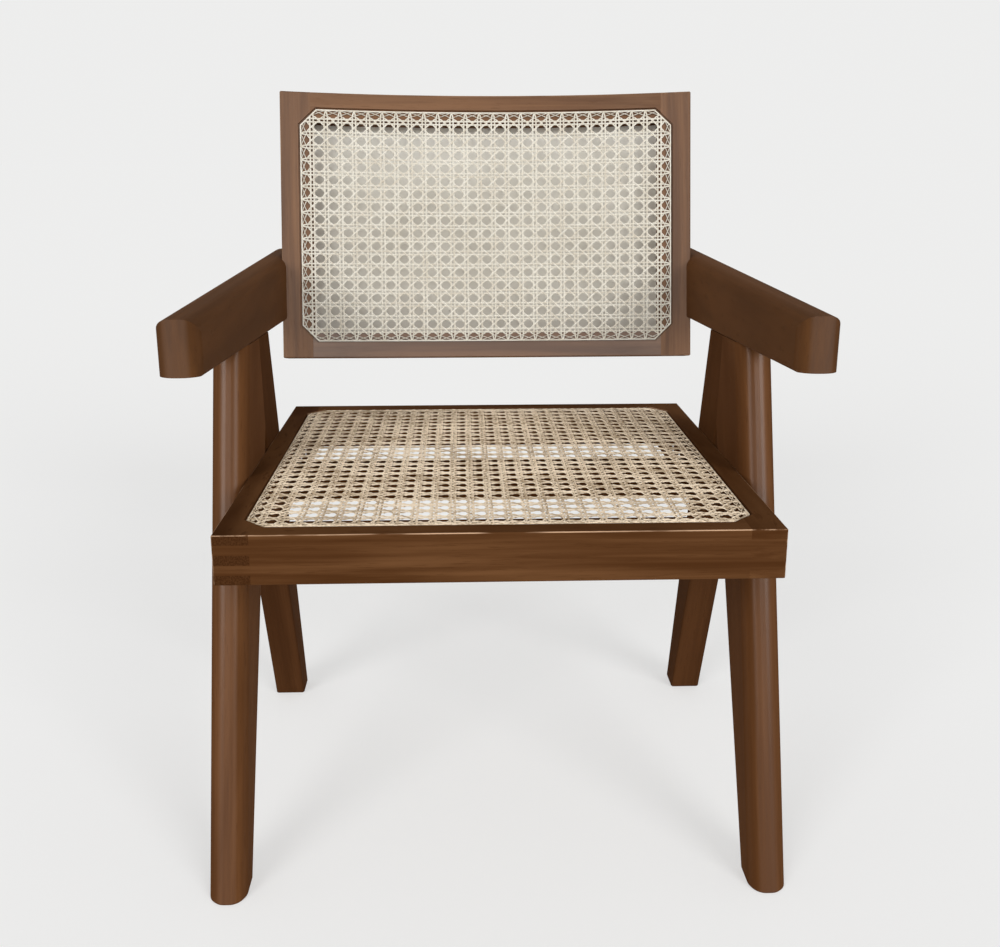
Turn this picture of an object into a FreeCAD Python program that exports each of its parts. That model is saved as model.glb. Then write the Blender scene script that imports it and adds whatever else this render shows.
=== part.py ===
"""Cane armchair: two side frames with V legs, a caned seat frame and a curved back caned on both faces.

The origin is on the floor under the middle of the chair. Seen from the front, X runs to the right, Y runs
away to the back, and Z is up.
"""

import FreeCAD
import Part
import Sketcher
import os
import re

# Driving dimensions in millimetres and degrees. A setback is a distance behind the seat's front edge.
SIZES = {
    "side_thickness": 37,
    "front_foot_setback": 29,
    "front_foot_depth": 41,
    "front_leg_lean": 18.3,
    "rear_foot_setback": 442,
    "rear_foot_depth": 35,
    "rear_leg_lean": 16.3,
    "crotch_setback": 276,
    "crotch_height": 415,
    "joint_top_setback": 268,
    "leg_front_round": 16,
    "leg_edge_round": 2.5,
    "foot_bevel": 2,
    "arm_setback": 5,
    "arm_length": 575,
    "arm_top": 584,
    "arm_front_depth": 49,
    "arm_taper": 3.3,
    "arm_end_round": 17,
    "arm_top_round": 14,
    "arm_bottom_round": 2,
    "seat_width": 500,
    "seat_depth": 490,
    "seat_height": 398,
    "seat_tilt": 1.05,
    "rail_thickness": 32,
    "front_rail_thickness": 44,
    "rail_height": 46,
    "frame_edge_round": 1.2,
    "finger_count": 5,
    "seat_border": 20.5,
    "cane_corner": 21,
    "cane_recess": 3,
    "cane_thickness": 2,
    "cane_clearance": 0.3,
    "cane_hole_count": 12,
    "cane_web": 11,
    "brace_thickness": 28,
    "brace_drop": 8,
    "tenon_length": 14,
    "tenon_thickness": 10,
    "tenon_shoulder": 7,
    "stile_housing": 5,
    "back_height": 329,
    "back_setback": 444.5,
    "back_bottom": 462.2,
    "back_tilt": 12.6,
    "back_sag": 23,
    "back_thickness": 34,
    "back_side_border": 21.5,
    "back_rail_border": 18.5,
    "back_ledge": 15,
    "dowel_diameter": 10,
    "dowel_length": 40,
    "arm_dowel_margin": 18,
    "arm_dowel_spacing": 30,
    "leg_dowel_spacing": 34,
    "screw_diameter": 5,
    "screw_head_diameter": 9,
    "screw_head_height": 3,
    "screw_bite": 20,
    "seat_screw_spacing": 36,
    "front_screw_setback": 178,
    "rear_screw_setback": 312,
    "back_screw_height": 70,
    "back_screw_spacing": 30,
    "plug_diameter": 12,
    "plug_depth": 8,
}

doc = FreeCAD.newDocument("CaneArmchair")
sheet = doc.addObject("Spreadsheet::Sheet", "Sizes")
for row, (alias, number) in enumerate(SIZES.items(), start=1):
    sheet.set(f"A{row}", alias.replace("_", " "))
    sheet.set(f"B{row}", str(number))
    sheet.setAlias(f"B{row}", alias)
doc.recompute()


def sized(text):
    """Expression in which every word with an underscore is a cell of the sheet."""
    return re.sub(r"[a-z]+(?:_[a-z]+)+", r"Sizes.\g<0>", text)


def value(text):
    """Number that an expression has at the sheet's sizes."""
    return float(sheet.evalExpression(sized(text)))


def bind(item, **properties):
    """Tie properties to expressions; two underscores stand for a dot."""
    for name, text in properties.items():
        item.setExpression(name.replace("__", "."), sized(text))


def move(item, x="0", y="0", z="0"):
    bind(item, Placement__Base__x=x, Placement__Base__y=y, Placement__Base__z=z)


# Places that several pieces share, as expressions.
SEAT_FRONT = "(((rail_height - frame_edge_round) * sin(seat_tilt) - arm_setback - arm_length) / 2)"
SEAT_SIDE = "seat_width / 2"
OUTER_SIDE = "(seat_width / 2 + side_thickness)"
BACK_SIDE = "(seat_width / 2 + stile_housing)"
BACK_RADIUS = f"(({BACK_SIDE} * {BACK_SIDE} + back_sag * back_sag) / (2 * back_sag))"
STILE_WIDTH = "(back_side_border + back_ledge)"
BACK_RAIL_WIDTH = "(back_rail_border + back_ledge)"
SIDES = {"left": -1, "right": 1}
NEAR = 1e-4


def behind(setback):
    """Y of a place that is set back from the seat's front edge."""
    return f"{setback} + {SEAT_FRONT}"


def under_arm(setback):
    """Height of the armrest's sloping underside."""
    return f"arm_top - arm_front_depth - ({setback} - arm_setback) * tan(arm_taper)"


def box(name, size, corner):
    """Block with its low corner at a place."""
    block = doc.addObject("Part::Box", name)
    bind(block, Length=size[0], Width=size[1], Height=size[2])
    move(block, *corner)
    return block


def rod(name, radius, length, start, along="z"):
    """Round bar from a start point along z, y, x or -x."""
    bar = doc.addObject("Part::Cylinder", name)
    bind(bar, Radius=radius, Height=length)
    point(bar, along)
    move(bar, *start)
    return bar


def point(item, along):
    """Turn an upright solid to point along an axis."""
    turns = {"z": ((0, 0, 1), 0), "y": ((1, 0, 0), -90), "x": ((0, 1, 0), 90), "-x": ((0, 1, 0), -90)}
    axis, angle = turns[along]
    item.Placement = FreeCAD.Placement(FreeCAD.Vector(), FreeCAD.Rotation(FreeCAD.Vector(*axis), angle))


def group(name, pieces):
    """Several separate solids as one object."""
    together = doc.addObject("Part::Compound", name)
    together.Links = pieces
    return together


def fuse(name, pieces):
    joined = doc.addObject("Part::MultiFuse", name)
    joined.Shapes = pieces
    return joined


def common(name, pieces):
    shared = doc.addObject("Part::MultiCommon", name)
    shared.Shapes = pieces
    return shared


def cut(name, base, tools):
    """Base less one or more tools."""
    rest = doc.addObject("Part::Cut", name)
    rest.Base = base
    rest.Tool = tools[0] if len(tools) == 1 else group(f"{name}_tools", tools)
    return rest


def outline(sketch, points):
    """Closed polygon whose corners are tied to expressions for their two coordinates."""
    corners = [FreeCAD.Vector(value(x), value(y), 0) for x, y in points]
    count = len(corners)
    for i in range(count):
        sketch.addGeometry(Part.LineSegment(corners[i], corners[(i + 1) % count]))
    for i, (x, y) in enumerate(points):
        sketch.addConstraint(Sketcher.Constraint("Coincident", i, 2, (i + 1) % count, 1))
        across = sketch.addConstraint(Sketcher.Constraint("DistanceX", -1, 1, i, 1, corners[i].x))
        sketch.setExpression(f"Constraints[{across}]", sized(x))
        if y == "0":
            sketch.addConstraint(Sketcher.Constraint("PointOnObject", i, 1, -1))
        else:
            up = sketch.addConstraint(Sketcher.Constraint("DistanceY", -1, 1, i, 1, corners[i].y))
            sketch.setExpression(f"Constraints[{up}]", sized(y))


def side_body(name, side, points):
    """Board of a side frame: an outline in side view, as thick as the frame."""
    body = doc.addObject("PartDesign::Body", name)
    sketch = body.newObject("Sketcher::SketchObject", f"{name}_outline")
    plane = next(f for f in body.Origin.OriginFeatures if f.Role == "YZ_Plane")
    sketch.AttachmentSupport = [(plane, "")]
    sketch.MapMode = "FlatFace"
    start = SEAT_SIDE if side == "right" else f"-{OUTER_SIDE}"
    sketch.setExpression("AttachmentOffset.Base.z", sized(start))
    outline(sketch, points)
    pad = body.newObject("PartDesign::Pad", f"{name}_board")
    pad.Profile = sketch
    bind(pad, Length="side_thickness")
    doc.recompute()
    return body


def rounded(body, kind, size, chosen):
    """Round or bevel the edges of a body that a test on their end points chooses."""
    last = body.Tip
    names = []
    for number, edge in enumerate(last.Shape.Edges, start=1):
        ends = [edge.firstVertex().Point, edge.lastVertex().Point]
        middle = edge.valueAt((edge.FirstParameter + edge.LastParameter) / 2)
        if chosen(ends, middle):
            names.append(f"Edge{number}")
    feature = body.newObject(f"PartDesign::{kind}", f"{body.Name}_{kind.lower()}{len(body.Group)}")
    feature.Base = (last, names)
    bind(feature, **{"Radius" if kind == "Fillet" else "Size": size})
    doc.recompute()


def along_side(points, first, last):
    """Test for the edges that run from one corner of a side outline to another."""
    wanted = [(value(points[i][0]), value(points[i][1])) for i in (first, last)]

    def chosen(ends, middle):
        seen = [(end.y, end.z) for end in ends]
        return any(
            all(abs(a - b) < NEAR for p, q in zip(order, wanted) for a, b in zip(p, q))
            for order in (seen, seen[::-1])
        )

    return chosen


def on_floor(ends, middle):
    return all(abs(spot.z) < NEAR for spot in [*ends, middle])


def upright(ends, middle):
    return abs(ends[0].x - ends[1].x) < NEAR and abs(ends[0].y - ends[1].y) < NEAR


def front_leg_blank(side):
    top = (
        "(arm_top - arm_front_depth - tan(arm_taper) * (front_foot_setback - arm_setback))"
        " / (1 + tan(arm_taper) * tan(front_leg_lean))"
    )
    points = [
        (behind("front_foot_setback"), "0"),
        (behind("front_foot_setback + front_foot_depth"), "0"),
        (behind("crotch_setback"), "crotch_height"),
        (behind("joint_top_setback"), under_arm("joint_top_setback")),
        (behind(f"front_foot_setback + tan(front_leg_lean) * {top}"), top),
    ]
    body = side_body(f"{side}_front_leg_blank", side, points)
    rounded(body, "Fillet", "min(leg_front_round; side_thickness * 0.47)", along_side(points, 4, 0))
    rounded(body, "Fillet", "leg_edge_round", along_side(points, 1, 2))
    rounded(body, "Chamfer", "foot_bevel", on_floor)
    return body


def rear_leg_blank(side):
    heel = "(rear_foot_setback + rear_foot_depth)"
    top = (
        f"(arm_top - arm_front_depth - tan(arm_taper) * ({heel} - arm_setback))"
        " / (1 - tan(arm_taper) * tan(rear_leg_lean))"
    )
    points = [
        (behind("rear_foot_setback"), "0"),
        (behind(heel), "0"),
        (behind(f"{heel} - tan(rear_leg_lean) * {top}"), top),
        (behind("joint_top_setback"), under_arm("joint_top_setback")),
        (behind("crotch_setback"), "crotch_height"),
    ]
    body = side_body(f"{side}_rear_leg_blank", side, points)
    rounded(body, "Fillet", "leg_edge_round", along_side(points, 1, 2))
    rounded(body, "Fillet", "leg_edge_round", along_side(points, 4, 0))
    rounded(body, "Chamfer", "foot_bevel", on_floor)
    return body


def arm_plan(side):
    """Block over the armrest's plan, with rounded ends."""
    body = doc.addObject("PartDesign::Body", f"{side}_arm_plan")
    sketch = body.newObject("Sketcher::SketchObject", f"{side}_arm_plan_outline")
    plane = next(f for f in body.Origin.OriginFeatures if f.Role == "XY_Plane")
    sketch.AttachmentSupport = [(plane, "")]
    sketch.MapMode = "FlatFace"
    near = SEAT_SIDE if side == "right" else f"-{OUTER_SIDE}"
    far = OUTER_SIDE if side == "right" else f"-{SEAT_SIDE}"
    front = behind("arm_setback")
    rear = behind("arm_setback + arm_length")
    outline(sketch, [(near, front), (far, front), (far, rear), (near, rear)])
    pad = body.newObject("PartDesign::Pad", f"{side}_arm_plan_block")
    pad.Profile = sketch
    bind(pad, Length="arm_top + arm_front_depth")
    doc.recompute()
    rounded(body, "Fillet", "min(arm_end_round; side_thickness * 0.47)", upright)
    return body


def arm_blank(side):
    points = [
        (behind("arm_setback"), under_arm("arm_setback")),
        (behind("arm_setback + arm_length"), under_arm("(arm_setback + arm_length)")),
        (behind("arm_setback + arm_length"), "arm_top"),
        (behind("arm_setback"), "arm_top"),
    ]
    body = side_body(f"{side}_arm_board", side, points)
    rounded(body, "Fillet", "arm_top_round", along_side(points, 2, 3))
    rounded(body, "Fillet", "arm_bottom_round", along_side(points, 0, 1))
    return common(f"{side}_arm_blank", [body, arm_plan(side)])


def set_seat(item):
    """Place a piece drawn in the seat's own frame: front edge at y 0, top face at z 0."""
    item.Placement.Rotation = FreeCAD.Rotation(FreeCAD.Vector(-1, 0, 0), 1)
    bind(item, Placement__Rotation__Angle="seat_tilt")
    move(item, "0", SEAT_FRONT, "seat_height")


def set_back(item):
    """Place a piece drawn in the back's own frame: bottom edge at z 0, front corners at y 0."""
    item.Placement.Rotation = FreeCAD.Rotation(FreeCAD.Vector(-1, 0, 0), 1)
    bind(item, Placement__Rotation__Angle="back_tilt")
    move(item, "0", behind("back_setback"), "back_bottom")


def eased(name, base, kind):
    """Solid with every edge taken off, by a Fillet or a Chamfer."""
    soft = doc.addObject(f"Part::{kind}", name)
    doc.recompute()
    soft.Base = base
    size = value("frame_edge_round")
    soft.Edges = [(number, size, size) for number in range(1, len(base.Shape.Edges) + 1)]
    return soft


def panel_outline(name, half_width, low, high):
    """Sketch of a caned panel: a rectangle with its corners cut off."""
    sketch = doc.addObject("Sketcher::SketchObject", name)
    inner = f"({half_width} - cane_corner)"
    points = [
        (f"-{inner}", low),
        (inner, low),
        (half_width, f"{low} + cane_corner"),
        (half_width, f"{high} - cane_corner"),
        (inner, high),
        (f"-{inner}", high),
        (f"-{half_width}", f"{high} - cane_corner"),
        (f"-{half_width}", f"{low} + cane_corner"),
    ]
    outline(sketch, points)
    return sketch


def prism(name, sketch, direction, length):
    """Solid swept from a sketch."""
    solid = doc.addObject("Part::Extrusion", name)
    solid.Base = sketch
    solid.DirMode = "Custom"
    solid.Dir = FreeCAD.Vector(*direction)
    solid.Solid = True
    bind(solid, LengthFwd=length)
    return solid


def screw(name, start, along, length):
    """Countersunk screw with its head's face at the start point."""
    forward = {"x": "", "-x": "-"}[along]
    head = doc.addObject("Part::Cone", f"{name}_head")
    bind(head, Radius1="screw_head_diameter / 2", Radius2="screw_diameter / 2", Height="screw_head_height")
    point(head, along)
    move(head, *start)
    neck = (f"{start[0]} + {forward}screw_head_height", start[1], start[2])
    shank = rod(f"{name}_shank", "screw_diameter / 2", f"{length} - screw_head_height", neck, along)
    return fuse(name, [head, shank])


# Dowels between the legs and the armrests, and across the joint of each pair of legs.
arm_dowel_places = [
    "joint_top_setback - arm_dowel_margin - arm_dowel_spacing",
    "joint_top_setback - arm_dowel_margin",
    "joint_top_setback + arm_dowel_margin",
]
arm_dowels = []
leg_dowels = []
for side, sign in SIDES.items():
    middle = f"{sign} * (seat_width + side_thickness) / 2"
    for number, setback in enumerate(arm_dowel_places, start=1):
        foot = (middle, behind(setback), f"{under_arm(f'({setback})')} - dowel_length / 2")
        arm_dowels.append(rod(f"{side}_arm_dowel_{number}", "dowel_diameter / 2", "dowel_length", foot))
    for number in (1, 2):
        height = f"crotch_height + leg_dowel_spacing * {number}"
        start = (middle, behind("crotch_setback - dowel_length / 2"), height)
        leg_dowels.append(rod(f"{side}_leg_dowel_{number}", "dowel_diameter / 2", "dowel_length", start, "y"))
nodes = {"arm_dowels": group("arm_dowels", arm_dowels), "leg_dowels": group("leg_dowels", leg_dowels)}

# Screws from inside the seat's side rails into the legs, in the seat's frame.
seat_screws = []
for side, sign in SIDES.items():
    along = "x" if sign > 0 else "-x"
    for leg in ("front", "rear"):
        for number in (0, 1):
            head = (
                f"{sign} * ({SEAT_SIDE} - rail_thickness)",
                f"{leg}_screw_setback + {number} * seat_screw_spacing",
                "-rail_height / 2",
            )
            name = f"{side}_{leg}_screw_{number + 1}"
            seat_screws.append(screw(name, head, along, "(rail_thickness + screw_bite)"))
nodes["seat_screws"] = group("seat_screws", seat_screws)

# Screws from the armrests into the back's stiles, and the wooden plugs that hide them, in the back's frame.
back_screws = []
arm_plugs = []
for side, sign in SIDES.items():
    inward = "-x" if sign > 0 else "x"
    for number in (0, 1):
        depth = "back_thickness / 2"
        height = f"back_screw_height + {number} * back_screw_spacing"
        seat_of_head = f"{sign} * ({OUTER_SIDE} - plug_depth)"
        length = "(side_thickness - plug_depth - stile_housing + screw_bite)"
        head = (seat_of_head, depth, height)
        back_screws.append(screw(f"{side}_back_screw_{number + 1}", head, inward, length))
        mouth = (f"{sign} * {OUTER_SIDE}", depth, height)
        arm_plugs.append(rod(f"{side}_plug_{number + 1}", "plug_diameter / 2", "plug_depth", mouth, inward))
back_screw_tools = group("back_screw_tools", back_screws)
nodes["back_screws"] = group("back_screws", back_screws)
nodes["arm_plugs"] = group("arm_plugs", arm_plugs)

# Seat frame: four rails finger-jointed at the corners, rounded as one block, and a brace across the middle.
seat_corner = (f"-{SEAT_SIDE}", "0", "-rail_height")
seat_block = box("seat_block", ("seat_width", "seat_depth", "rail_height"), seat_corner)
seat_envelope = eased("seat_envelope", seat_block, "Fillet")
seat_recess_outline = panel_outline(
    "seat_recess_outline",
    f"({SEAT_SIDE} - seat_border)",
    "seat_border",
    "(seat_depth - seat_border)",
)
seat_recess = prism("seat_recess", seat_recess_outline, (0, 0, -1), "cane_recess")

brace_length = "(seat_width - 2 * rail_thickness)"
brace_height = "(rail_height - brace_drop)"
brace_front = "(seat_depth - brace_thickness) / 2"
brace_end = f"-{brace_length} / 2"
brace_bar = box(
    "brace_bar",
    (brace_length, "brace_thickness", brace_height),
    (brace_end, brace_front, "-rail_height"),
)
brace_tenons = box(
    "brace_tenons",
    (f"{brace_length} + 2 * tenon_length", "tenon_thickness", f"{brace_height} - 2 * tenon_shoulder"),
    (f"{brace_end} - tenon_length", "(seat_depth - tenon_thickness) / 2", "-rail_height + tenon_shoulder"),
)
nodes["seat_middle_brace"] = fuse("seat_middle_brace", [brace_bar, brace_tenons])

FINGERS = round(value("finger_count"))
FINGER = f"(rail_height / {FINGERS})"
CROSS_RAILS = (
    ("front", "0", "front_rail_thickness"),
    ("rear", "seat_depth - rail_thickness", "rail_thickness"),
)


def finger_gaps(name, x, y, depth, first):
    """Blocks that every second finger leaves free at one end of a rail."""
    size = ("rail_thickness", depth, FINGER)
    return [
        box(f"{name}_{number}", size, (x, y, f"-({number} + 1) * {FINGER}"))
        for number in range(first, FINGERS, 2)
    ]


def corner_gaps(rail, first):
    """Gaps between the fingers at all four corners of the seat frame, starting at the given finger."""
    gaps = []
    for x_name, x in (("left", f"-{SEAT_SIDE}"), ("right", f"{SEAT_SIDE} - rail_thickness")):
        for y_name, y, depth in CROSS_RAILS:
            gaps += finger_gaps(f"{rail}_{x_name}_{y_name}_gap", x, y, depth, first)
    return group(f"{rail}_gaps", gaps)


side_rail_gaps = corner_gaps("side_rail", 1)
cross_rail_gaps = corner_gaps("cross_rail", 0)

for side, sign in SIDES.items():
    low_x = f"-{SEAT_SIDE}" if sign < 0 else f"{SEAT_SIDE} - rail_thickness"
    size = ("rail_thickness", "seat_depth", "rail_height")
    bar = box(f"seat_{side}_bar", size, (low_x, "0", "-rail_height"))
    shaped = common(f"seat_{side}_shaped", [bar, seat_envelope])
    screws = group(f"seat_{side}_screw_holes", seat_screws)
    name = f"seat_{side}_rail"
    nodes[name] = cut(name, shaped, [side_rail_gaps, seat_recess, brace_tenons, screws])
for end, low_y, depth in CROSS_RAILS:
    size = ("seat_width", depth, "rail_height")
    bar = box(f"seat_{end}_bar", size, (f"-{SEAT_SIDE}", low_y, "-rail_height"))
    shaped = common(f"seat_{end}_shaped", [bar, seat_envelope])
    name = f"seat_{end}_rail"
    nodes[name] = cut(name, shaped, [cross_rail_gaps, seat_recess])

seat_cane_outline = panel_outline(
    "seat_cane_outline",
    f"({SEAT_SIDE} - seat_border - cane_clearance)",
    "(seat_border + cane_clearance)",
    "(seat_depth - seat_border - cane_clearance)",
)
move(seat_cane_outline, "0", "0", "-cane_recess")
seat_cane_sheet = prism("seat_cane_sheet", seat_cane_outline, (0, 0, 1), "cane_thickness")

# Openings for the weave's, inside the rails: where slots from front to rear cross slots from side to side.
CANE_HOLES = round(value("cane_hole_count"))
hole_pitch_x = f"((seat_width - 2 * rail_thickness) / {CANE_HOLES})"
hole_pitch_y = f"((seat_depth - front_rail_thickness - rail_thickness) / {CANE_HOLES})"
long_slots = []
cross_slots = []
for number in range(CANE_HOLES):
    x = f"rail_thickness - {SEAT_SIDE} + {number} * {hole_pitch_x} + cane_web / 2"
    size = (f"{hole_pitch_x} - cane_web", "seat_depth", "rail_height")
    long_slots.append(box(f"cane_long_slot_{number + 1}", size, (x, "0", "-rail_height")))
    y = f"front_rail_thickness + {number} * {hole_pitch_y} + cane_web / 2"
    size = ("seat_width", f"{hole_pitch_y} - cane_web", "rail_height")
    cross_slots.append(box(f"cane_cross_slot_{number + 1}", size, (f"-{SEAT_SIDE}", y, "-rail_height")))
slot_groups = [group("cane_long_slots", long_slots), group("cane_cross_slots", cross_slots)]
seat_cane_holes = common("seat_cane_holes", slot_groups)
nodes["seat_cane"] = cut("seat_cane", seat_cane_sheet, [seat_cane_holes])

# Back frame: members of one curved slab, hollow towards the sitter, with a caned recess in both faces.
BACK_FRONT_AXIS = f"back_sag - {BACK_RADIUS}"


def curved_slab(name, near, far):
    """Curved slab between two depths behind the back's front face, as tall as the back."""
    centre = ("0", BACK_FRONT_AXIS, "0")
    outer = rod(f"{name}_outer", f"{BACK_RADIUS} + {far}", "back_height", centre)
    inner = rod(f"{name}_inner", f"{BACK_RADIUS} + {near}", "back_height", centre)
    return cut(name, outer, [inner])


def back_block(name, x, width, z, height):
    """Block through the whole depth of the back."""
    depth = "(back_sag + 2 * back_thickness)"
    return box(name, (width, depth, height), (x, "-back_thickness / 2", z))


def back_panel(name, near, far, gap):
    """Curved panel with the outline of the cane, less a gap all round."""
    sketch = panel_outline(
        f"{name}_outline",
        f"({BACK_SIDE} - back_side_border - {gap})",
        f"(back_rail_border + {gap})",
        f"(back_height - back_rail_border - {gap})",
    )
    sketch.Placement.Rotation = FreeCAD.Rotation(FreeCAD.Vector(1, 0, 0), 90)
    move(sketch, "0", "-back_thickness / 2", "0")
    through = prism(f"{name}_through", sketch, (0, 1, 0), "back_sag + 2 * back_thickness")
    return common(name, [curved_slab(f"{name}_slab", near, far), through])


back_slab = curved_slab("back_slab", "0", "back_thickness")
back_outer_block = back_block("back_outer_block", f"-{BACK_SIDE}", f"2 * {BACK_SIDE}", "0", "back_height")
back_square_envelope = common("back_square_envelope", [back_slab, back_outer_block])
back_envelope = eased("back_envelope", back_square_envelope, "Chamfer")
front_recess = back_panel("front_recess", "0", "cane_recess", "0")
rear_recess = back_panel("rear_recess", "back_thickness - cane_recess", "back_thickness", "0")

tenon_near = "(back_thickness - tenon_thickness) / 2"
tenon_far = "(back_thickness + tenon_thickness) / 2"
tenon_slab = curved_slab("back_tenon_slab", tenon_near, tenon_far)
back_rail_length = f"(2 * {BACK_SIDE} - 2 * {STILE_WIDTH})"
back_tenons = []
for end, low_z in (("bottom", "0"), ("top", f"(back_height - {BACK_RAIL_WIDTH})")):
    bar = back_block(f"back_{end}_bar", f"-{back_rail_length} / 2", back_rail_length, low_z, BACK_RAIL_WIDTH)
    curve = common(f"back_{end}_curve", [back_envelope, bar])
    body = cut(f"back_{end}_body", curve, [front_recess, rear_recess])
    tenons = []
    for side, sign in SIDES.items():
        low_x = f"{back_rail_length} / 2" if sign > 0 else f"-{back_rail_length} / 2 - tenon_length"
        tenon_height = f"{BACK_RAIL_WIDTH} - 2 * tenon_shoulder"
        name = f"back_{end}_{side}_tenon"
        block = back_block(f"{name}_block", low_x, "tenon_length", f"{low_z} + tenon_shoulder", tenon_height)
        tenons.append(common(name, [tenon_slab, block]))
    back_tenons += tenons
    nodes[f"back_{end}_rail"] = fuse(f"back_{end}_rail", [body, *tenons])

stile_blanks = {}
for side, sign in SIDES.items():
    low_x = f"-{BACK_SIDE}" if sign < 0 else f"{BACK_SIDE} - {STILE_WIDTH}"
    bar = back_block(f"back_{side}_bar", low_x, STILE_WIDTH, "0", "back_height")
    stile_blanks[side] = common(f"back_{side}_curve", [back_envelope, bar])
    name = f"back_{side}_stile"
    nodes[name] = cut(name, stile_blanks[side], [front_recess, rear_recess, *back_tenons, back_screw_tools])

front_near = "cane_recess - cane_thickness"
rear_near = "back_thickness - cane_recess"
rear_far = f"{rear_near} + cane_thickness"
nodes["back_front_cane"] = back_panel("back_front_cane", front_near, "cane_recess", "cane_clearance")
nodes["back_rear_cane"] = back_panel("back_rear_cane", rear_near, rear_far, "cane_clearance")

for name, node in nodes.items():
    if name.startswith("seat_"):
        set_seat(node)
    elif name.startswith("back_") or name == "arm_plugs":
        set_back(node)

# Side frames: the legs and armrests take the holes of what joins them, and a housing for each stile.
for side in SIDES:
    front_leg = f"{side}_front_leg"
    nodes[front_leg] = cut(
        front_leg, front_leg_blank(side), [nodes["arm_dowels"], nodes["leg_dowels"], nodes["seat_screws"]]
    )
    rear_leg = f"{side}_rear_leg"
    nodes[rear_leg] = cut(
        rear_leg, rear_leg_blank(side), [nodes["arm_dowels"], nodes["leg_dowels"], nodes["seat_screws"]]
    )
    stile = group(f"{side}_stile_housing", [stile_blanks[side]])
    set_back(stile)
    armrest = f"{side}_armrest"
    nodes[armrest] = cut(
        armrest, arm_blank(side), [nodes["arm_dowels"], stile, nodes["back_screws"], nodes["arm_plugs"]]
    )

doc.recompute()
for item in doc.Objects:
    if "Invalid" in item.State or "Error" in item.State:
        raise RuntimeError(f"{item.Name} failed: {item.State}")
for name, node in nodes.items():
    node.Label = name
    if node.Shape.isNull() or not node.Shape.isValid() or not node.Shape.Solids:
        raise RuntimeError(f"{name} has no valid solid")

os.makedirs("parts", exist_ok=True)
for name, node in nodes.items():
    node.Shape.exportStep(f"parts/{name}.step")
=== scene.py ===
"""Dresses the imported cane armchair: oiled wood, hand-woven cane in the seat and back, and a pale studio."""

import math

import bmesh
import bpy
from bpy.props import FloatProperty, FloatVectorProperty, IntProperty, PointerProperty
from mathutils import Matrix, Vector


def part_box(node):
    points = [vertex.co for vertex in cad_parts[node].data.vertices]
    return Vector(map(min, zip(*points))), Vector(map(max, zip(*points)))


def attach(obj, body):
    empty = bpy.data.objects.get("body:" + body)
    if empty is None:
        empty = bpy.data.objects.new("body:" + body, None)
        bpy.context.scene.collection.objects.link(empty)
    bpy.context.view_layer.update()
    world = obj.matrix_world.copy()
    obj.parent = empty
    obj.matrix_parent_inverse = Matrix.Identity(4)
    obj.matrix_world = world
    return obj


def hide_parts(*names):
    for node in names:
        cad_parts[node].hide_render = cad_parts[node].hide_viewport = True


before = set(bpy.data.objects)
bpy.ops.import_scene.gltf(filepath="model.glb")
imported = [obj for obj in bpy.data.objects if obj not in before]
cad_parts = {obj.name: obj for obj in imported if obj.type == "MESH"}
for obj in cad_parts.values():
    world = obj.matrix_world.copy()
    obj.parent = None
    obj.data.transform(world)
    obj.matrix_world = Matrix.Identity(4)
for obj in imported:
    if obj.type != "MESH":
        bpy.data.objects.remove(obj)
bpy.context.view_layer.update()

bl_info = {
    "name": "Cane armchair dressing",
    "version": (1, 0, 0),
    "blender": (4, 5, 0),
    "location": "3D View > Sidebar > Cane armchair",
    "description": "Oiled wood, woven cane and a pale studio around the packed armchair",
    "category": "Object",
}

MM = 0.001
SMOOTH_UNDER = math.radians(50)
SAME_PLACE = 0.001 * MM
WELD_WITHIN = 0.01 * MM

# How far strands pass over and under each other, as shares of a strand's thickness
CROSSING_RISE = 0.53
SLANT_RISE = 0.8
EDGE_RISE = 0.7

# Pitches of strand laid beyond the last pair, those of them that are left as they are,
# and the share by which a pair closes up at its edge hole
SPARE_PITCHES = 1.5
FREE_PITCHES = 0.3
FREE_SHARE = 0.4
CLOSING = 0.8


class CaneSizes(bpy.types.PropertyGroup):
    """Sizes of the cane strands and of the caned panels."""

    strand_width: FloatProperty(
        name="Strand width", description="Width of one strand of cane", default=1.5 * MM, unit="LENGTH"
    )
    strand_thickness: FloatProperty(
        name="Strand thickness", description="Thickness of one strand of cane",
        default=0.55 * MM, unit="LENGTH",
    )
    strand_crown: FloatProperty(
        name="Strand crown", description="Rise of a strand's glossy face at its middle",
        default=0.5 * MM, unit="LENGTH",
    )
    pair_spacing: FloatProperty(
        name="Pair spacing", description="Distance between the two strands of a pair",
        default=4.1 * MM, unit="LENGTH",
    )
    edge_margin: FloatProperty(
        name="Edge margin", description="Pitches from the last pair of strands to the panel's edge",
        default=0.78,
    )
    edge_gap: FloatProperty(
        name="Edge gap", description="Gap between the edge strand and the frame",
        default=1.9 * MM, unit="LENGTH",
    )
    corner: FloatProperty(
        name="Corner", description="Length cut off each corner of a panel", default=21 * MM, unit="LENGTH"
    )
    edge_dip: FloatProperty(
        name="Edge dip", description="How far the strands' ends go down at the groove",
        default=0.5 * MM, unit="LENGTH",
    )
    seat_end_margin: FloatProperty(
        name="Seat end margin",
        description="Pitches from the seat's last level pair to its front or rear edge",
        default=0.36,
    )
    seat_columns: IntProperty(
        name="Seat columns", description="Pairs of strands from front to rear", default=26
    )
    seat_rows: IntProperty(name="Seat rows", description="Pairs of strands from side to side", default=26)
    back_columns: IntProperty(name="Back columns", description="Upright pairs of strands", default=26)
    back_rows: IntProperty(name="Back rows", description="Level pairs of strands", default=17)


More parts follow.
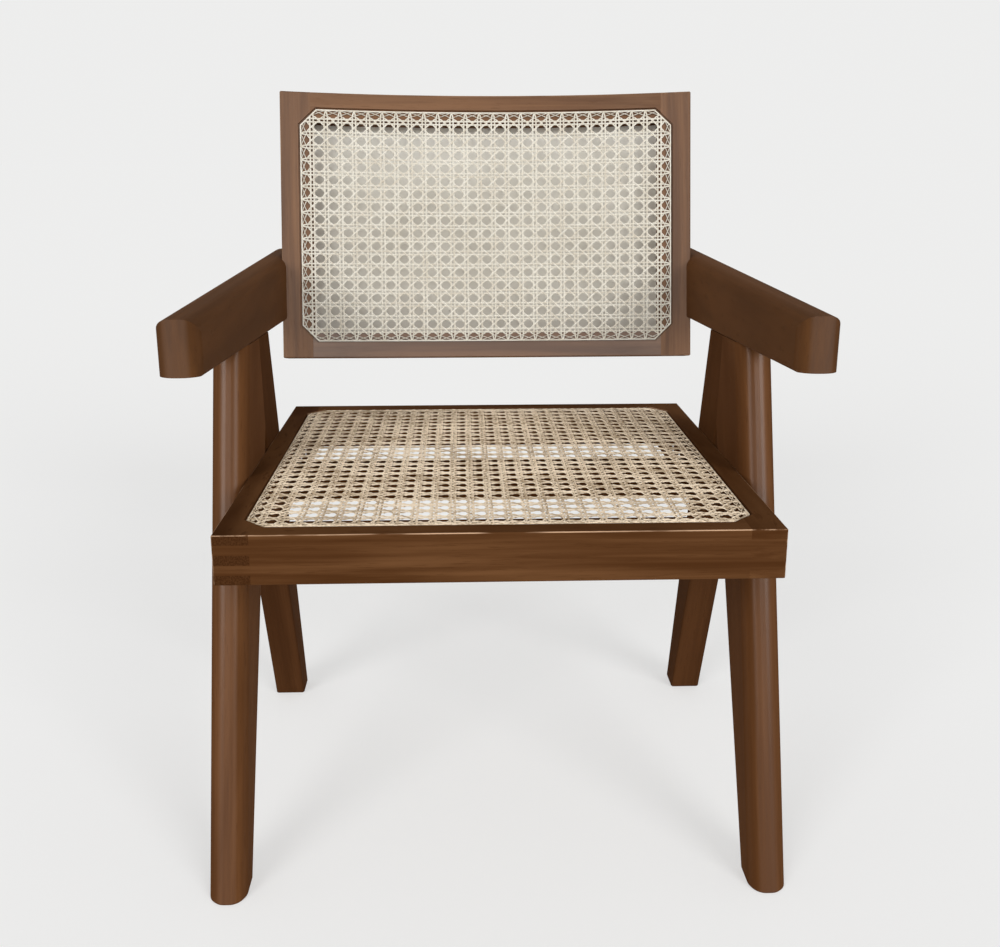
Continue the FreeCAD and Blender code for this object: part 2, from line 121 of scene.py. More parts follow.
class FramePlaces(bpy.types.PropertyGroup):
    """Places and angles of the tilted seat and back, repeated from the model."""

    seat_front: FloatProperty(
        name="Seat front", description="Y of the seat's front edge", default=-289.59 * MM, unit="LENGTH"
    )
    seat_height: FloatProperty(
        name="Seat height", description="Height of the seat's front edge", default=398 * MM, unit="LENGTH"
    )
    seat_depth: FloatProperty(
        name="Seat depth", description="Depth of the seat", default=490 * MM, unit="LENGTH"
    )
    seat_tilt: FloatProperty(
        name="Seat tilt", description="Fall of the seat to the rear",
        default=math.radians(1.05), subtype="ANGLE",
    )
    seat_cane_drop: FloatProperty(
        name="Seat cane drop", description="Depth of the seat cane's middle below the frame",
        default=1.5 * MM, unit="LENGTH",
    )
    back_setback: FloatProperty(
        name="Back setback", description="From the seat's front edge to the back's lower corner",
        default=444.5 * MM, unit="LENGTH",
    )
    back_bottom: FloatProperty(
        name="Back bottom", description="Height of the back's lower front corners",
        default=462.2 * MM, unit="LENGTH",
    )
    back_height: FloatProperty(
        name="Back height", description="Height along the back", default=329 * MM, unit="LENGTH"
    )
    back_tilt: FloatProperty(
        name="Back tilt", description="Lean of the back", default=math.radians(12.6), subtype="ANGLE"
    )
    back_half_width: FloatProperty(
        name="Back half width", description="Half the width of the back frame",
        default=255 * MM, unit="LENGTH",
    )
    back_sag: FloatProperty(
        name="Back sag", description="Hollow of the back towards the sitter", default=23 * MM, unit="LENGTH"
    )
    back_cane_half_height: FloatProperty(
        name="Back cane half height", description="Half the height of the back's cane",
        default=145.7 * MM, unit="LENGTH",
    )
    back_front_depth: FloatProperty(
        name="Front cane depth", description="Middle of the front cane behind the back's front face",
        default=1.5 * MM, unit="LENGTH",
    )
    back_rear_depth: FloatProperty(
        name="Rear cane depth", description="Middle of the rear cane behind the back's front face",
        default=32.5 * MM, unit="LENGTH",
    )
    lining_depth: FloatProperty(
        name="Lining depth", description="Middle of the lining behind the back's front face",
        default=31.1 * MM, unit="LENGTH",
    )
    lining_thickness: FloatProperty(
        name="Lining thickness", description="Thickness of the lining", default=0.2 * MM, unit="LENGTH"
    )


class Finishes(bpy.types.PropertyGroup):
    """Colours of the wood and the cane."""

    arm_light: FloatVectorProperty(
        name="Arm light", description="Pale grain of the armrests",
        default=(0.096, 0.0365, 0.0108), subtype="COLOR",
    )
    arm_dark: FloatVectorProperty(
        name="Arm dark", description="Dark grain of the armrests",
        default=(0.062, 0.0227, 0.0066), subtype="COLOR",
    )
    rail_light: FloatVectorProperty(
        name="Rail light", description="Pale grain of the seat rails",
        default=(0.131, 0.0575, 0.0222), subtype="COLOR",
    )
    rail_dark: FloatVectorProperty(
        name="Rail dark", description="Dark grain of the seat rails",
        default=(0.063, 0.023, 0.0069), subtype="COLOR",
    )
    left_rail_dark: FloatVectorProperty(
        name="Left rail dark", description="Dark grain of the seat's left rail",
        default=(0.041, 0.014, 0.004), subtype="COLOR",
    )
    front_leg_light: FloatVectorProperty(
        name="Front leg light", description="Pale grain of the front legs",
        default=(0.126, 0.051, 0.0182), subtype="COLOR",
    )
    front_leg_dark: FloatVectorProperty(
        name="Front leg dark", description="Dark grain of the front legs",
        default=(0.077, 0.028, 0.0085), subtype="COLOR",
    )
    # Rear leg tones: the same wood as the front legs, darkened as painted shade from the seat.
    shaded_rear_leg_light: FloatVectorProperty(
        name="Shaded rear leg light", description="Pale grain of the rear legs, darkened as painted shade",
        default=(0.078, 0.0297, 0.0098), subtype="COLOR",
    )
    shaded_rear_leg_dark: FloatVectorProperty(
        name="Shaded rear leg dark", description="Dark grain of the rear legs, darkened as painted shade",
        default=(0.05, 0.0176, 0.005), subtype="COLOR",
    )
    back_light: FloatVectorProperty(
        name="Back light", description="Pale grain of the back frame",
        default=(0.178, 0.082, 0.034), subtype="COLOR",
    )
    back_dark: FloatVectorProperty(
        name="Back dark", description="Dark grain of the back frame",
        default=(0.086, 0.034, 0.0115), subtype="COLOR",
    )
    seat_cane_pale: FloatVectorProperty(
        name="Seat cane pale", description="Pale strands in the seat",
        default=(0.9, 0.757, 0.577), subtype="COLOR",
    )
    seat_cane_deep: FloatVectorProperty(
        name="Seat cane deep", description="Deeper strands in the seat",
        default=(0.42, 0.31, 0.195), subtype="COLOR",
    )
    back_cane_pale: FloatVectorProperty(
        name="Back cane pale", description="Pale strands in the back",
        default=(0.76, 0.724, 0.635), subtype="COLOR",
    )
    back_cane_deep: FloatVectorProperty(
        name="Back cane deep", description="Deeper strands in the back",
        default=(0.64, 0.585, 0.485), subtype="COLOR",
    )
    # The lining's top colour is painted light: the cloth is made lighter towards the top.
    lining_painted_light: FloatVectorProperty(
        name="Lining with painted light", description="Cloth inside the back at its top, lightened as painted light",
        default=(0.94, 0.92, 0.865), subtype="COLOR",
    )
    lining_deep: FloatVectorProperty(
        name="Deep lining", description="Cloth inside the back at its bottom",
        default=(0.74, 0.712, 0.65), subtype="COLOR",
    )


class StageSizes(bpy.types.PropertyGroup):
    """Camera, floor and light of the studio."""

    camera_place: FloatVectorProperty(
        name="Camera place", description="Where the camera stands",
        default=(-0.0341, -1.1484, 0.7273), subtype="TRANSLATION",
    )
    camera_pitch: FloatProperty(
        name="Camera pitch", description="How far the camera looks down",
        default=math.radians(15), subtype="ANGLE",
    )
    camera_turn: FloatProperty(
        name="Camera turn", description="How far the camera looks to the right",
        default=math.radians(1.85), subtype="ANGLE",
    )
    camera_lens: FloatProperty(name="Lens", description="Focal length in millimetres", default=38.17)
    shift_across: FloatProperty(name="Shift across", description="Sideways shift of the view", default=0.0054)
    shift_up: FloatProperty(name="Shift up", description="Upward shift of the view", default=-0.0518)
    floor_colour: FloatVectorProperty(
        name="Floor colour", description="Colour of the floor", default=(0.95, 0.95, 0.945), subtype="COLOR"
    )
    backdrop_colour: FloatVectorProperty(
        name="Backdrop colour", description="Colour behind the chair",
        default=(0.85, 0.85, 0.845), subtype="COLOR",
    )
    floor_shade: FloatProperty(
        name="Floor shade", description="How strongly the chair's shadow shows on the floor",
        default=0.52, subtype="FACTOR",
    )
    room_light: FloatProperty(name="Room light", description="Strength of the even light", default=0.4)
    lamp_light: FloatProperty(
        name="Lamp light", description="Strength of each of the two soft lamps in front", default=1.45
    )
    lamp_height: FloatProperty(
        name="Lamp height", description="Height of the lamps over the horizon",
        default=math.radians(22), subtype="ANGLE",
    )
    lamp_turn: FloatProperty(
        name="Lamp turn", description="How far the lamps stand to the left and right",
        default=math.radians(33), subtype="ANGLE",
    )
    lamp_spread: FloatProperty(
        name="Lamp spread", description="Width of each lamp", default=math.radians(28), subtype="ANGLE"
    )


def deselect():
    if bpy.context.mode != "OBJECT":
        bpy.ops.object.mode_set(mode="OBJECT")
    bpy.ops.object.select_all(action="DESELECT")


def only(piece):
    """Select one piece by itself."""
    deselect()
    piece.select_set(True)
    bpy.context.view_layer.objects.active = piece


def settle(piece):
    """Put a piece's place into its mesh."""
    only(piece)
    bpy.ops.object.transform_apply(location=True, rotation=True, scale=True)


def apply_modifiers(piece):
    only(piece)
    for modifier in list(piece.modifiers):
        bpy.ops.object.modifier_apply(modifier=modifier.name)


def pick(piece, chosen):
    """Select the vertices of a piece in edit mode that pass a test."""
    mesh = bmesh.from_edit_mesh(piece.data)
    for vertex in mesh.verts:
        vertex.select_set(chosen(vertex))
    mesh.select_flush_mode()
    bmesh.update_edit_mesh(piece.data)


def strip(name, period, stations, cane):
    """Strip of cane one period long, which rises and falls at its stations (share of the period, height)."""
    deselect()
    bpy.ops.mesh.primitive_grid_add(x_subdivisions=len(stations) - 1, y_subdivisions=2, size=1)
    piece = bpy.context.active_object
    piece.name = name
    piece.scale = (period, cane.strand_width, 1)
    settle(piece)
    starts = sorted({round(vertex.co.x, 7) for vertex in piece.data.vertices})
    if len(starts) != len(stations):
        raise RuntimeError(f"{name} has {len(starts)} stations instead of {len(stations)}")
    columns = {}
    for vertex in piece.data.vertices:
        columns.setdefault(starts.index(round(vertex.co.x, 7)), set()).add(vertex.index)
    middle = {vertex.index for vertex in piece.data.vertices if abs(vertex.co.y) < cane.strand_width / 10}
    edit(piece)
    for number, (share, height) in enumerate(stations):
        pick(piece, lambda vertex: vertex.index in columns[number])
        bpy.ops.transform.translate(value=(share * period - starts[number], 0, height))
    pick(piece, lambda vertex: vertex.index in middle)
    bpy.ops.transform.translate(value=(0, 0, cane.strand_crown))
    bpy.ops.object.mode_set(mode="OBJECT")
    return piece


def repeat(piece, name, step, count, merge):
    """Copies of a piece, one step apart."""
    copies = piece.modifiers.new(name, "ARRAY")
    copies.use_relative_offset = False
    copies.use_constant_offset = True
    copies.constant_offset_displace = step
    copies.count = count
    copies.use_merge_vertices = merge
    copies.merge_threshold = WELD_WITHIN


def thicken(piece, thickness):
    body = piece.modifiers.new("body", "SOLIDIFY")
    body.thickness = thickness
    body.offset = 0


def join(name, pieces):
    """Several strands as one piece."""
    only(pieces[0])
    for piece in pieces[1:]:
        piece.select_set(True)
    bpy.ops.object.join()
    joined = bpy.context.active_object
    joined.name = name
    return joined


def edit(piece):
    """Open a piece for work on its vertices."""
    only(piece)
    bpy.ops.object.mode_set(mode="EDIT")
    bpy.ops.mesh.select_mode(type="VERT")


def slice_off(piece, sides):
    """Cut away what lies outside planes (point, outward normal)."""
    edit(piece)
    for point, normal in sides:
        bpy.ops.mesh.select_all(action="SELECT")
        bpy.ops.mesh.bisect(plane_co=point, plane_no=normal, use_fill=True, clear_outer=True)
    bpy.ops.object.mode_set(mode="OBJECT")


def crowd(piece, axis, last, factor):
    """Draw in what lies beyond +-last along an axis, as the strands crowd towards the edge holes."""
    edit(piece)
    scale = [1, 1, 1]
    scale[axis] = factor
    for sign in (-1, 1):
        pivot = [0, 0, 0]
        pivot[axis] = sign * last
        pick(piece, lambda vertex: sign * vertex.co[axis] > last)
        bpy.ops.transform.resize(value=scale, center_override=pivot)
    bpy.ops.object.mode_set(mode="OBJECT")


def gather(piece, last, edge, sideways, dip):
    """Lead the ends of a strand sideways and down into the edge holes."""
    places = sorted({round(vertex.co.x, 6) for vertex in piece.data.vertices if abs(vertex.co.x) > last})
    edit(piece)
    for at in places:
        share = (abs(at) - last) / (edge - last)
        pick(piece, lambda vertex: abs(vertex.co.x - at) < SAME_PLACE)
        bpy.ops.transform.translate(value=(0, sideways * share, -dip * max(0, share * 2 - 1)))
    bpy.ops.object.mode_set(mode="OBJECT")


def corner_planes(half_width, half_height, corner):
    planes = []
    for across in (-1, 1):
        for up in (-1, 1):
            slant = Vector((across, up, 0)).normalized()
            planes.append((Vector((across * (half_width - corner), up * half_height, 0)), slant))
    return planes


def cut_corner(cane, inset):
    """Length cut off a corner on a line that runs inside the panel's edge."""
    return cane.corner - inset * (2 - math.sqrt(2))


def edge_strand(name, half_width, half_height, cane):
    """Flat strand laid along the edge holes all round a panel."""
    deselect()
    bpy.ops.mesh.primitive_plane_add(size=2)
    piece = bpy.context.active_object
    piece.name = name
    piece.scale = (half_width, half_height, 1)
    settle(piece)
    edit(piece)
    bpy.ops.mesh.select_all(action="SELECT")
    corner = cut_corner(cane, cane.edge_gap)
    bpy.ops.mesh.bevel(offset=corner, offset_type="OFFSET", segments=1, affect="VERTICES")
    bpy.ops.mesh.select_mode(type="FACE")
    bpy.ops.mesh.select_all(action="SELECT")
    bpy.ops.mesh.inset(thickness=cane.strand_width)
    bpy.ops.mesh.delete(type="FACE")
    bpy.ops.mesh.select_mode(type="VERT")
    bpy.ops.mesh.select_all(action="SELECT")
    bpy.ops.mesh.subdivide(number_cuts=15)
    bpy.ops.transform.translate(value=(0, 0, cane.strand_thickness * EDGE_RISE))
    bpy.ops.object.mode_set(mode="OBJECT")
    thicken(piece, cane.strand_thickness)
    apply_modifiers(piece)
    return piece


def weave(name, field_width, field_height, columns, rows, end_margin, cane):
    """Flat six-way weave round the origin: upright and level pairs, two slanting ways and an edge strand."""
    margin = cane.edge_margin
    half_width = field_width - cane.edge_gap - cane.strand_width / 2
    half_height = field_height - cane.edge_gap - cane.strand_width / 2
    pitch_x = half_width / ((columns - 1) / 2 + margin)
    pitch_y = half_height / ((rows - 1) / 2 + end_margin)
    last_x = pitch_x * (columns - 1) / 2
    last_y = pitch_y * (rows - 1) / 2
    half_pair = cane.pair_spacing / 2
    half_strand = cane.strand_width / 2
    swap = cane.strand_thickness * CROSSING_RISE
    clear = cane.strand_thickness * SLANT_RISE
    corners = corner_planes(half_width, half_height, cut_corner(cane, cane.edge_gap + half_strand))

    def crossing_stations(pitch, sign):
        near = (half_pair - half_strand) / pitch
        far = (half_pair + half_strand) / pitch
        rise = sign * swap
        first_half = [(-0.5, 0), (-0.3, 0), (-far, -rise), (-near, -rise)]
        return first_half + [(-share, -height) for share, height in reversed(first_half)]

    def crowding(margin):
        """Pitches that stay free at an edge, and how far the rest is drawn together there."""
        free = min(FREE_PITCHES, margin * FREE_SHARE)
        return free, (margin - free) / (SPARE_PITCHES - free)

    def pairs(kind, pitch, last, count, edge, step, last_across, count_across):
        free, factor = crowding(edge)
        laid = []
        for side in (-1, 1):
            strand = strip(f"{name}_{kind}_{side}", pitch, crossing_stations(pitch, side), cane)
            repeat(strand, "run", (pitch, 0, 0), count + 2, True)
            apply_modifiers(strand)
            strand.location.x = -last - pitch
            settle(strand)
            bend = last + free * pitch
            crowd(strand, 0, bend, factor)
            gather(strand, bend, last + edge * pitch, -side * half_pair * CLOSING, cane.edge_dip)
            thicken(strand, cane.strand_thickness)
            repeat(strand, "rows", (0, step, 0), count_across, False)
            apply_modifiers(strand)
            strand.location.y = -last_across + side * half_pair
            settle(strand)
            laid.append(strand)
        return join(f"{name}_{kind}", laid)

    level = pairs("level", pitch_x, last_x, columns, margin, pitch_y, last_y, rows)
    upright = pairs("upright", pitch_y, last_y, rows, end_margin, pitch_x, last_x, columns)
    upright.rotation_euler.z = math.pi / 2
    settle(upright)

    slants = []
    reach_x = last_x + pitch_x * SPARE_PITCHES
    reach_y = last_y + pitch_y * SPARE_PITCHES
    length = math.hypot(pitch_x, pitch_y)
    lean = math.atan2(pitch_y, pitch_x)
    for way in (1, -1):
        top = way * clear
        stations = [(0, top), (0.2, top), (0.3, -top), (0.5, -top), (0.7, -top), (0.8, top), (1, top)]
        strand = strip(f"{name}_slant_{way}", length, stations, cane)
        repeat(strand, "run", (length, 0, 0), rows + 3, True)
        thicken(strand, cane.strand_thickness)
        step = (pitch_x * math.cos(lean), -way * pitch_x * math.sin(lean), 0)
        repeat(strand, "rows", step, columns + rows + 6, False)
        apply_modifiers(strand)
        strand.rotation_euler.z = way * lean
        strand.location = (-last_x - pitch_x * (rows + 4), -way * reach_y, 0)
        settle(strand)
        slants.append(strand)
    slant = join(f"{name}_slant", slants)
    slice_off(slant, [(Vector((sign * reach_x, 0, 0)), Vector((sign, 0, 0))) for sign in (-1, 1)])
    slice_off(slant, [(Vector((0, sign * reach_y, 0)), Vector((0, sign, 0))) for sign in (-1, 1)])
    for axis, last, pitch, edge in ((0, last_x, pitch_x, margin), (1, last_y, pitch_y, end_margin)):
        free, factor = crowding(edge)
        crowd(slant, axis, last + free * pitch, factor)

    pieces = [upright, level, slant]
    for piece in pieces:
        slice_off(piece, corners)
    pieces.append(edge_strand(f"{name}_edge", half_width + half_strand, half_height + half_strand, cane))
    for piece in pieces:
        only(piece)
        bpy.ops.object.shade_smooth_by_angle(angle=SMOOTH_UNDER)
    return pieces


def place(pieces, location, tilt):
    """Lean pieces about X and move them into place."""
    for piece in pieces:
        piece.rotation_euler.x = -tilt
        piece.location = location
        settle(piece)


WARM_SHEEN = (1, 0.7, 0.45)
PALE_SHEEN = (1, 0.97, 0.93)
WORN_AND_HIGHLIT_WOOD = (0.62, 0.4, 0.25)
DOWEL_LIGHT = (0.55, 0.38, 0.22)
DOWEL_DARK = (0.42, 0.27, 0.14)
LINING_STAIN = (0.88, 0.87, 0.85)
STEEL = (0.6, 0.6, 0.59)
DULLEST = 0.95
SURFACE = (("Color", "NodeSocketColor"), ("Roughness", "NodeSocketFloat"), ("Height", "NodeSocketFloat"))


def opaque(colour):
    return (*colour, 1)


def new_material(name):
    """Material with a shader; returns it, its nodes and the shader."""
    material = bpy.data.materials.new(name)
    material.use_nodes = True
    return material, material.node_tree, material.node_tree.nodes["Principled BSDF"]


def new_group(name, inputs, outputs):
    """Empty shader group with named sockets."""
    group = bpy.data.node_groups.new(name, "ShaderNodeTree")
    for label, kind, default in inputs:
        socket = group.interface.new_socket(label, in_out="INPUT", socket_type=kind)
        if default is not None:
            socket.default_value = default
    for label, kind in outputs:
        group.interface.new_socket(label, in_out="OUTPUT", socket_type=kind)
    entry = group.nodes.new("NodeGroupInput")
    leave = group.nodes.new("NodeGroupOutput")
    return group, entry, leave


def math_node(tree, operation, first, second):
    """Math node whose inputs are sockets or numbers; returns its output."""
    node = tree.nodes.new("ShaderNodeMath")
    node.operation = operation
    for socket, given in zip(node.inputs, (first, second)):
        if isinstance(given, (int, float)):
            socket.default_value = given
        else:
            tree.links.new(given, socket)
    return node.outputs["Value"]


def weighted(tree, *shares):
    """Sum of values, each times its share."""
    total, *others = [math_node(tree, "MULTIPLY", value, share) for value, share in shares]
    for other in others:
        total = math_node(tree, "ADD", total, other)
    return total


def stretched_noise(tree, vector, stretch, scale, detail, roughness=0.5, distortion=0.0, depth=1):
    """Noise drawn out along X, and along Y by its depth; returns its value."""
    scaled = tree.nodes.new("ShaderNodeVectorMath")
    scaled.operation = "MULTIPLY"
    scaled.inputs[1].default_value = (1 / stretch, 1 / depth, 1)
    tree.links.new(vector, scaled.inputs[0])
    noise = tree.nodes.new("ShaderNodeTexNoise")
    noise.inputs["Scale"].default_value = scale
    noise.inputs["Detail"].default_value = detail
    noise.inputs["Roughness"].default_value = roughness
    noise.inputs["Distortion"].default_value = distortion
    tree.links.new(scaled.outputs["Vector"], noise.inputs["Vector"])
    return noise.outputs["Fac"]


def spread(tree, value, low, high):
    """Map a value from low..high to 0..1."""
    node = tree.nodes.new("ShaderNodeMapRange")
    node.interpolation_type = "SMOOTHSTEP"
    node.inputs["From Min"].default_value = low
    node.inputs["From Max"].default_value = high
    tree.links.new(value, node.inputs["Value"])
    return node.outputs["Result"]


def mix_colours(tree, factor, first, second, blend="MIX"):
    """Mix of two colours, each a socket or a colour; returns the result."""
    node = tree.nodes.new("ShaderNodeMix")
    node.data_type = "RGBA"
    node.blend_type = blend
    if isinstance(factor, (int, float)):
        node.inputs[0].default_value = factor
    else:
        tree.links.new(factor, node.inputs[0])
    for socket, given in ((node.inputs[6], first), (node.inputs[7], second)):
        if isinstance(given, tuple):
            socket.default_value = given
        else:
            tree.links.new(given, socket)
    return node.outputs[2]


def wood_grain_group():
    """Straight-grained hardwood: bands, streaks and pores along X, darker end grain, and pale upward-facing
    arrises that are wear and painted highlight.
    """
    group, entry, leave = new_group(
        "Wood grain",
        [
            ("Vector", "NodeSocketVector", None),
            ("Normal", "NodeSocketVector", None),
            ("Light", "NodeSocketColor", (0.2, 0.1, 0.05, 1)),
            ("Dark", "NodeSocketColor", (0.1, 0.04, 0.02, 1)),
            ("Wear and highlight", "NodeSocketFloat", 0.0),
            ("End grain", "NodeSocketFloat", 1.0),
        ],
        SURFACE,
    )
    vector = entry.outputs["Vector"]
    dark = entry.outputs["Dark"]
    light = entry.outputs["Light"]
    bands = stretched_noise(
        group, vector, stretch=14, scale=30, detail=3, roughness=0.55, distortion=0.9, depth=5
    )
    streaks = stretched_noise(group, vector, stretch=45, scale=190, detail=3, roughness=0.6, depth=8)
    pores = stretched_noise(group, vector, stretch=22, scale=900, detail=2, depth=6)
    clouds = stretched_noise(group, vector, stretch=3, scale=9, detail=2)
    tone = weighted(group, (bands, 0.55), (streaks, 0.3), (clouds, 0.15))
    colour = mix_colours(group, spread(group, tone, 0.36, 0.64), dark, light)
    pore = spread(group, pores, 0.6, 0.7)
    colour = mix_colours(group, math_node(group, "MULTIPLY", pore, 0.45), colour, dark)

    normal = group.nodes.new("ShaderNodeSeparateXYZ")
    absolute = group.nodes.new("ShaderNodeVectorMath")
    absolute.operation = "ABSOLUTE"
    group.links.new(entry.outputs["Normal"], absolute.inputs[0])
    group.links.new(absolute.outputs["Vector"], normal.inputs["Vector"])
    end_grain = spread(group, normal.outputs["X"], 0.8, 0.97)
    dots = stretched_noise(group, vector, stretch=1, scale=700, detail=2)
    end_colour = mix_colours(group, spread(group, dots, 0.3, 0.7), dark, light)
    end_colour = mix_colours(group, 0.7, end_colour, dark)
    end_share = math_node(group, "MULTIPLY", end_grain, entry.outputs["End grain"])
    colour = mix_colours(group, end_share, colour, end_colour)

    widest = math_node(group, "MAXIMUM", normal.outputs["X"], normal.outputs["Y"])
    widest = math_node(group, "MAXIMUM", widest, normal.outputs["Z"])
    # Pale upward-facing arrises: wear and painted highlight, where light from above catches the rounded
    # edges.
    arris = spread(group, math_node(group, "SUBTRACT", 1.0, widest), 0.02, 0.08)
    arris_patches = stretched_noise(group, vector, stretch=8, scale=120, detail=3)
    upward = group.nodes.new("ShaderNodeSeparateXYZ")
    group.links.new(entry.outputs["Normal"], upward.inputs["Vector"])
    worn_and_highlit = math_node(group, "MULTIPLY", arris, spread(group, upward.outputs["Z"], -0.1, 0.1))
    worn_and_highlit = math_node(group, "MULTIPLY", worn_and_highlit, spread(group, arris_patches, 0.35, 0.6))
    worn_and_highlit = math_node(group, "MULTIPLY", worn_and_highlit, entry.outputs["Wear and highlight"])
    colour = mix_colours(group, worn_and_highlit, colour, opaque(WORN_AND_HIGHLIT_WOOD))
    group.links.new(colour, leave.inputs["Color"])

    rough = math_node(group, "MULTIPLY", streaks, 0.16)
    rough = math_node(group, "ADD", rough, 0.36)
    rough = math_node(group, "ADD", rough, math_node(group, "MULTIPLY", pore, 0.12))
    group.links.new(rough, leave.inputs["Roughness"])
    height = math_node(group, "SUBTRACT", math_node(group, "MULTIPLY", streaks, 0.4), pore)
    group.links.new(height, leave.inputs["Height"])
    return group


def cane_fibre_group():
    """Strand of cane: tone that changes from strand to strand and fine fibres along X."""
    group, entry, leave = new_group(
        "Cane fibre",
        [
            ("Vector", "NodeSocketVector", None),
            ("Pale", "NodeSocketColor", (0.8, 0.7, 0.5, 1)),
            ("Deep", "NodeSocketColor", (0.6, 0.5, 0.3, 1)),
        ],
        SURFACE,
    )
    vector = entry.outputs["Vector"]
    strands = stretched_noise(group, vector, stretch=30, scale=330, detail=1)
    patches = stretched_noise(group, vector, stretch=2, scale=30, detail=3)
    fibres = stretched_noise(group, vector, stretch=40, scale=2600, detail=2)
    tone = spread(group, weighted(group, (strands, 0.5), (patches, 0.3), (fibres, 0.2)), 0.39, 0.58)
    colour = mix_colours(group, tone, entry.outputs["Deep"], entry.outputs["Pale"])
    group.links.new(colour, leave.inputs["Color"])
    rough = math_node(group, "ADD", math_node(group, "MULTIPLY", patches, 0.2), 0.36)
    group.links.new(rough, leave.inputs["Roughness"])
    group.links.new(fibres, leave.inputs["Height"])
    return group


def polished_front_group():
    """Mask of the faces towards the front, which hands and dusters have polished."""
    group, entry, leave = new_group(
        "Polished front",
        [("Normal", "NodeSocketVector", None), ("Polish", "NodeSocketFloat", 1.0)],
        [("Mask", "NodeSocketFloat")],
    )
    facing = group.nodes.new("ShaderNodeSeparateXYZ")
    group.links.new(entry.outputs["Normal"], facing.inputs["Vector"])
    front = spread(group, math_node(group, "MULTIPLY", facing.outputs["Y"], -1.0), 0.8, 0.98)
    group.links.new(math_node(group, "MULTIPLY", front, entry.outputs["Polish"]), leave.inputs["Mask"])
    return group


def emboss(tree, shader, height, strength, distance):
    """Fine relief on a surface."""
    relief = tree.nodes.new("ShaderNodeBump")
    relief.inputs["Strength"].default_value = strength
    relief.inputs["Distance"].default_value = distance
    tree.links.new(height, relief.inputs["Height"])
    tree.links.new(relief.outputs["Normal"], shader.inputs["Normal"])


def duller_aslant(tree, roughness):
    """Oiled wood and raw cane lose their sheen when seen aslant."""
    facing = tree.nodes.new("ShaderNodeLayerWeight")
    slant = spread(tree, facing.outputs["Facing"], 0.25, 0.6)
    left = math_node(tree, "SUBTRACT", DULLEST, roughness)
    return math_node(tree, "ADD", roughness, math_node(tree, "MULTIPLY", slant, left))


def finish(name, group, turn, values, bump, gloss, polish=0.0, tint=(1, 1, 1)):
    """Material of a grain or fibre group whose X is turned to run along the piece."""
    material, tree, shader = new_material(name)
    grain = tree.nodes.new("ShaderNodeGroup")
    grain.node_tree = group
    place_of = tree.nodes.new("ShaderNodeTexCoord")
    for output, kind, target in (("Object", "POINT", "Vector"), ("Normal", "NORMAL", "Normal")):
        if target in grain.inputs:
            turned = tree.nodes.new("ShaderNodeMapping")
            turned.vector_type = kind
            turned.inputs["Rotation"].default_value = turn
            tree.links.new(place_of.outputs[output], turned.inputs["Vector"])
            tree.links.new(turned.outputs["Vector"], grain.inputs[target])
    for label, given in values.items():
        grain.inputs[label].default_value = given
    emboss(tree, shader, grain.outputs["Height"], bump, 0.3 * MM)
    tree.links.new(grain.outputs["Color"], shader.inputs["Base Color"])
    tree.links.new(duller_aslant(tree, grain.outputs["Roughness"]), shader.inputs["Roughness"])
    shader.inputs["Specular IOR Level"].default_value = gloss
    shader.inputs["Specular Tint"].default_value = opaque(tint)
    if polish:
        front = tree.nodes.new("ShaderNodeGroup")
        front.node_tree = shared_group("Polished front", polished_front_group)
        front.inputs["Polish"].default_value = polish
        tree.links.new(place_of.outputs["Normal"], front.inputs["Normal"])
        tree.links.new(front.outputs["Mask"], shader.inputs["Coat Weight"])
        shader.inputs["Coat Roughness"].default_value = 0.3
    return material


def shared_group(name, build):
    """Group of that name, built once."""
    return bpy.data.node_groups.get(name) or build()


def wood(name, turn, light, dark, gloss, wear_and_highlight=0.0, end=1.0, polish=0.0, tint=WARM_SHEEN):
    values = {"Light": opaque(light), "Dark": opaque(dark), "Wear and highlight": wear_and_highlight, "End grain": end}
    grain = shared_group("Wood grain", wood_grain_group)
    return finish(name, grain, turn, values, bump=0.35, gloss=gloss, polish=polish, tint=tint)


def cane_strand(name, turn, pale, deep):
    values = {"Pale": opaque(pale), "Deep": opaque(deep)}
    fibre = shared_group("Cane fibre", cane_fibre_group)
    return finish(name, fibre, turn, values, bump=0.3, gloss=0.3)


def lining_cloth(deep, painted_light_top, low, high):
    """Plain-woven pale cloth with painted light, lighter from a low to a high place."""
    material, tree, shader = new_material("lining_cloth")
    coordinates = tree.nodes.new("ShaderNodeTexCoord")
    place_of = coordinates.outputs["Object"]
    patches = stretched_noise(tree, place_of, stretch=1, scale=12, detail=3)
    threads = stretched_noise(tree, place_of, stretch=0.2, scale=900, detail=2)
    tone = weighted(tree, (patches, 0.7), (threads, 0.3))
    parts = tree.nodes.new("ShaderNodeSeparateXYZ")
    tree.links.new(place_of, parts.inputs["Vector"])
    # Painted light: the cloth lightens from the middle of the panel up to its top.
    colours = mix_colours(tree, spread(tree, parts.outputs["Z"], low, high), opaque(deep), opaque(painted_light_top))
    stained = mix_colours(tree, 1.0, colours, opaque(LINING_STAIN), "MULTIPLY")
    colours = mix_colours(tree, spread(tree, tone, 0.3, 0.7), stained, colours)
    tree.links.new(colours, shader.inputs["Base Color"])
    shader.inputs["Roughness"].default_value = 0.9
    shader.inputs["Specular IOR Level"].default_value = 0.1
    emboss(tree, shader, threads, 0.2, 0.2 * MM)
    return material


def paint(names, material):
    """Give CAD nodes a material."""
    for name in names:
        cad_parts[name].material_slots[0].material = material


ALONG_X = (0, 0, 0)
ALONG_Y = (0, 0, -math.pi / 2)
ALONG_ARM = (math.pi / 2, math.pi / 2, 0)
FRONT_LEG_LEAN = math.radians(22)
REAR_LEG_LEAN = math.radians(-19)


def along_upright(lean):
    """Turn that brings a grain that leans back by an angle from the vertical onto X."""
    return (lean, math.pi / 2, 0)


